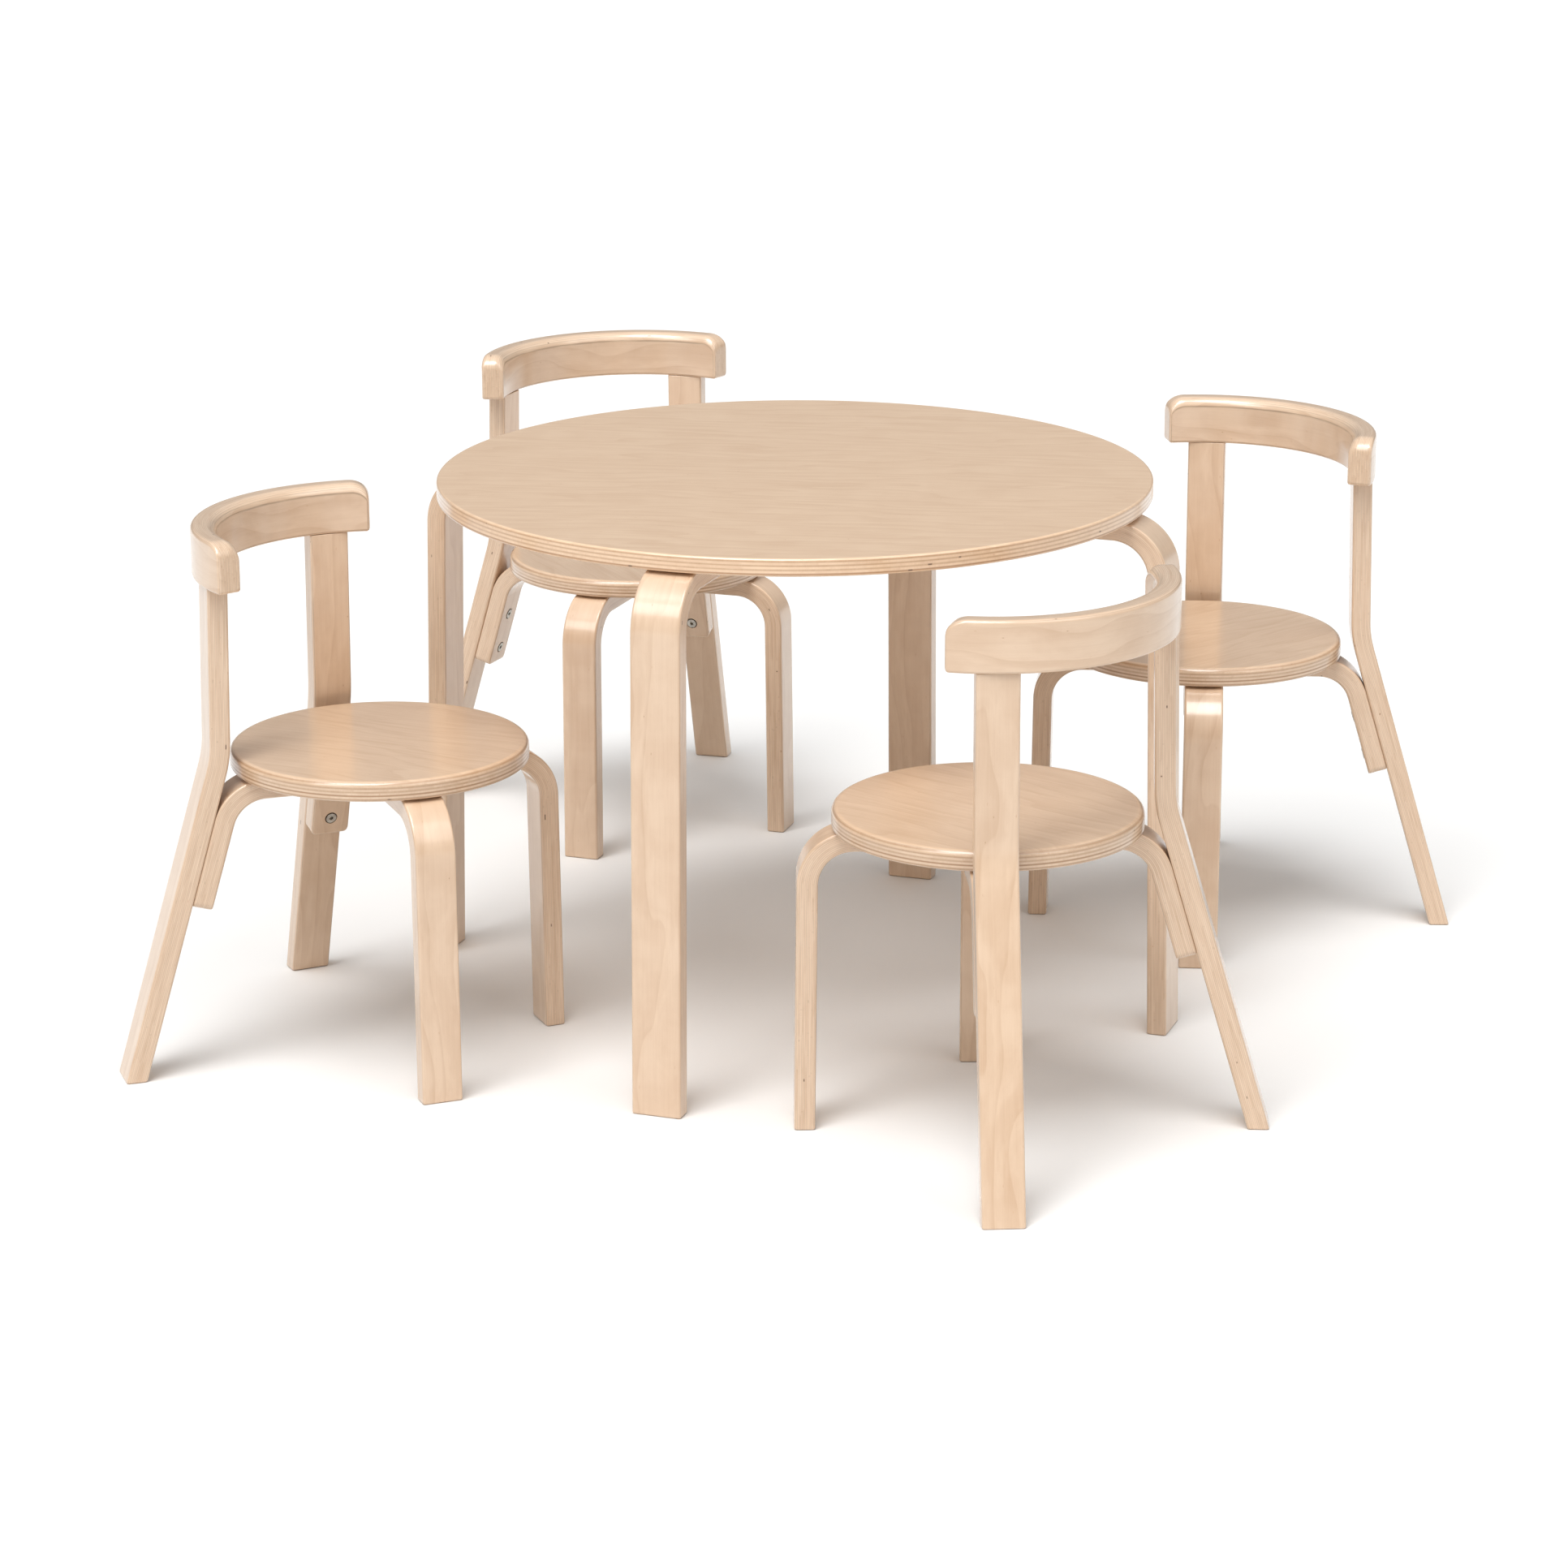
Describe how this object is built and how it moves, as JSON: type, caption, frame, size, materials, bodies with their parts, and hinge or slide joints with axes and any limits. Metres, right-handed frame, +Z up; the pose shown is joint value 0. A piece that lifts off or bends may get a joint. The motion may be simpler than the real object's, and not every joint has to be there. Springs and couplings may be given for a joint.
{
  "type": "kids table and chairs",
  "caption": "Low round birch plywood table on bentwood legs, with matching round-seated bentwood chairs that have a curved backrest on splayed rear legs.",
  "frame": {"origin": "middle of the set's outline on the floor, with the chairs where they stand at rest", "axes": "+Z up, square to the floor; +Y towards the back of the set and +X to its right, as seen from the front"},
  "size_m": [1.4346, 1.6036, 0.568],
  "materials": {
    "birch_plywood": "clear semi-gloss lacquer over birch veneer, ply lines on the edges",
    "bent_birch": "clear semi-gloss lacquer over laminated birch strips",
    "zinc_steel": "zinc-plated steel",
    "insert_brass": "plain turned brass",
    "dowel_wood": "raw fluted beech"
  },
  "bodies": {
    "table": {"table_top": "birch_plywood", "table_leg_1": "bent_birch", "table_leg_2": "bent_birch", "table_leg_3": "bent_birch", "table_leg_4": "bent_birch", "table_screws": "zinc_steel"},
    "chair_1": {"chair_1_seat": "birch_plywood", "chair_1_backrest": "bent_birch", "chair_1_long_leg_left": "bent_birch", "chair_1_long_leg_right": "bent_birch", "chair_1_rear_bracket_left": "bent_birch", "chair_1_rear_bracket_right": "bent_birch", "chair_1_front_leg_left": "bent_birch", "chair_1_front_leg_right": "bent_birch", "chair_1_bracket_bolts": "zinc_steel", "chair_1_threaded_inserts": "insert_brass", "chair_1_seat_screws": "zinc_steel", "chair_1_backrest_dowels": "dowel_wood"},
    "chair_2": {"chair_2_seat": "birch_plywood", "chair_2_backrest": "bent_birch", "chair_2_long_leg_left": "bent_birch", "chair_2_long_leg_right": "bent_birch", "chair_2_rear_bracket_left": "bent_birch", "chair_2_rear_bracket_right": "bent_birch", "chair_2_front_leg_left": "bent_birch", "chair_2_front_leg_right": "bent_birch", "chair_2_bracket_bolts": "zinc_steel", "chair_2_threaded_inserts": "insert_brass", "chair_2_seat_screws": "zinc_steel", "chair_2_backrest_dowels": "dowel_wood"},
    "chair_3": {"chair_3_seat": "birch_plywood", "chair_3_backrest": "bent_birch", "chair_3_long_leg_left": "bent_birch", "chair_3_long_leg_right": "bent_birch", "chair_3_rear_bracket_left": "bent_birch", "chair_3_rear_bracket_right": "bent_birch", "chair_3_front_leg_left": "bent_birch", "chair_3_front_leg_right": "bent_birch", "chair_3_bracket_bolts": "zinc_steel", "chair_3_threaded_inserts": "insert_brass", "chair_3_seat_screws": "zinc_steel", "chair_3_backrest_dowels": "dowel_wood"},
    "chair_4": {"chair_4_seat": "birch_plywood", "chair_4_backrest": "bent_birch", "chair_4_long_leg_left": "bent_birch", "chair_4_long_leg_right": "bent_birch", "chair_4_rear_bracket_left": "bent_birch", "chair_4_rear_bracket_right": "bent_birch", "chair_4_front_leg_left": "bent_birch", "chair_4_front_leg_right": "bent_birch", "chair_4_bracket_bolts": "zinc_steel", "chair_4_threaded_inserts": "insert_brass", "chair_4_seat_screws": "zinc_steel", "chair_4_backrest_dowels": "dowel_wood"}
  },
  "joints": [
    {"name": "chair_1_pull_out", "type": "slide", "parent": "table", "child": "chair_1", "axis": [-0.9259, 0.3778, 0], "range_m": [-0.05, 0.3]},
    {"name": "chair_2_pull_out", "type": "slide", "parent": "table", "child": "chair_2", "axis": [-0.4352, 0.9003, 0], "range_m": [-0.15, 0.3]},
    {"name": "chair_3_pull_out", "type": "slide", "parent": "table", "child": "chair_3", "axis": [0.7705, 0.6374, 0], "range_m": [-0.15, 0.3]},
    {"name": "chair_4_pull_out", "type": "slide", "parent": "table", "child": "chair_4", "axis": [0.7096, -0.7046, 0], "range_m": [-0.08, 0.3]}
  ]
}
